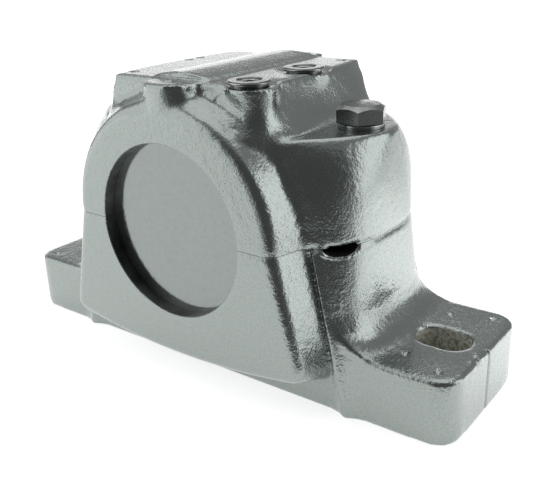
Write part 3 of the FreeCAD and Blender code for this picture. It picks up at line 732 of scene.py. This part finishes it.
for name, made in (("base", base_mesh), ("cap", cap_mesh)):
    made.normal_update()
    for face in made.faces:
        face.material_index = iron_face(face)
    replaced(name, name + "_casting", made, (enamel, bare_iron, levering_slot_painted_shade, bore_painted_shade))

# ---- End cover ---------------------------------------------------------------------
# A disc of moulded plastic that closes the front opening, smooth and glossy. Its rim is
# held in the front groove, between base and cap.
def dress(node, material):
    """The finish, on a CAD piece that is shown as it is."""
    mesh = nodes[node].data
    mesh.materials.clear()
    mesh.materials.append(material)


gloss, tree, shader = new_finish("cover_gloss", 0.9, 0.6)
skin = placed(tree, pebbles, Grain=500, Waves=60, Patches=30)
two_tone(tree, shader, skin.outputs["Pits"], (0.24, 0.268, 0.256), (0.228, 0.254, 0.243))
shader.inputs["Roughness"].default_value = 0.14
bump(tree, shader, skin.outputs["Height"], 0.00006)
dress("end_cover", gloss)

# ---- Cap bolts, washers and dowels -------------------------------------------------
# Dark zinc hexagon bolts and washers hold the cap down, on two dowels. The bolts' and
# washers' edges are eased, and their rounds are coloured lighter as a painted highlight.
def eased(name, width, sharp=25):
    """Copy of a CAD piece with flat faces joined up and its sharp edges rounded."""
    bm = cad_copy(name)
    bmesh.ops.dissolve_limit(bm, angle_limit=math.radians(1), verts=bm.verts,
                             edges=bm.edges, use_dissolve_boundaries=False)
    bm.normal_update()
    edges = [edge for edge in bm.edges if edge.is_manifold
             and edge.calc_face_angle() > math.radians(sharp)]
    rounded = bmesh.ops.bevel(bm, geom=edges, offset=width, offset_type="OFFSET",
                              segments=2, profile=0.5, affect="EDGES",
                              clamp_overlap=True, material=-1)
    # The rounds take the second finish, which is a painted highlight on the pieces that use
    # it.
    for face in rounded["faces"]:
        face.material_index = 1
    return bm


def stained_metal(name, clean, stain, roughness, duller, metallic, depth, coat=0.0):
    """Metal with fine tool marks, and stains that are duller than the rest."""
    material, tree, shader = new_finish(name, metallic, coat)
    marks = placed(tree, tooled)
    two_tone(tree, shader, marks.outputs["Stain"], clean, stain)
    tree.links.new(spread(tree, marks.outputs["Stain"], 0, 1, roughness,
                          roughness + duller), shader.inputs["Roughness"])
    bump(tree, shader, marks.outputs["Height"], depth)
    return material


def plated_metal(name, clean, stain, roughness, coat=0.0):
    """Zinc-plated or blackened steel."""
    return stained_metal(name, clean, stain, roughness, 0.1, 0.95, 0.00006, coat)


zinc = plated_metal("bolt_zinc", (0.29, 0.305, 0.3), (0.2, 0.213, 0.208), 0.2)
# Lighter zinc on the eased edges of bolts, washers and plugs: a painted highlight.
edge_painted_highlight = plated_metal("edge_painted_highlight", (0.55, 0.57, 0.56), (0.35, 0.37, 0.36), 0.22)
edge_width, bolt_turn = 0.0004, math.radians(-6.5)
for name in ("cap_bolt_right", "cap_bolt_left", "bolt_washer_right", "bolt_washer_left"):
    low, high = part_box(name)
    bm = eased(name, edge_width)
    bmesh.ops.rotate(bm, verts=bm.verts, cent=(low + high) / 2,
                     matrix=Matrix.Rotation(bolt_turn, 3, "Z"))
    replaced(name, name + "_finished", bm, (zinc, edge_painted_highlight), True)
for name in ("dowel_pin_right", "dowel_pin_left"):
    dress(name, zinc)

# ---- Grease plugs ------------------------------------------------------------------
# Two turned steel plugs with a flange and a hexagon socket, blackened, and screwed down
# into the cap's top where the grease goes in.
black = plated_metal("plug_black", (0.13, 0.14, 0.137), (0.08, 0.087, 0.085), 0.2, 0.3)
# The plugs' eased edges carry the painted highlight.
for name in ("grease_plug_front", "grease_plug_rear"):
    replaced(name, name + "_finished", eased(name, edge_width), (black, edge_painted_highlight),
             True)

# ---- Bearing, sleeve and nut -------------------------------------------------------
# Rings, rollers and sleeve are ground steel, oiled and bright, and the cages machined
# brass. The nut draws the tapered sleeve tight on the shaft, and two locating rings keep
# the bearing in the middle of its seat.
def ground_metal(name, clean, stain, roughness):
    """Bright turned or ground metal."""
    return stained_metal(name, clean, stain, roughness, 0.12, 1.0, 0.00004)


steel = ground_metal("bearing_steel", (0.62, 0.62, 0.61), (0.5, 0.49, 0.48), 0.3)
for name in ("outer_ring", "inner_ring", "guide_ring", "rollers_front", "rollers_rear",
             "adapter_sleeve", "lock_washer", "lock_nut", "locating_ring_front",
             "locating_ring_rear"):
    dress(name, steel)
brass = ground_metal("cage_brass", (0.64, 0.45, 0.20), (0.46, 0.31, 0.14), 0.26)
for name in ("cage_front", "cage_rear"):
    dress(name, brass)

# ---- Seals -------------------------------------------------------------------------
# Moulded black rubber. Two half rings with lips sit in the rear groove, one in each
# casting, and a cord lies in a groove round the end cover's rim.
rubber, tree, shader = new_finish("seal_rubber", 0.0)
skin = placed(tree, pebbles, Grain=1500, Waves=300, Patches=60)
two_tone(tree, shader, skin.outputs["Pits"], (0.022, 0.022, 0.022), (0.012, 0.012, 0.012))
shader.inputs["Roughness"].default_value = 0.55
bump(tree, shader, skin.outputs["Height"], 0.00012)
for name in ("seal_half_upper", "seal_half_lower", "end_cover_cord"):
    dress(name, rubber)

low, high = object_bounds()
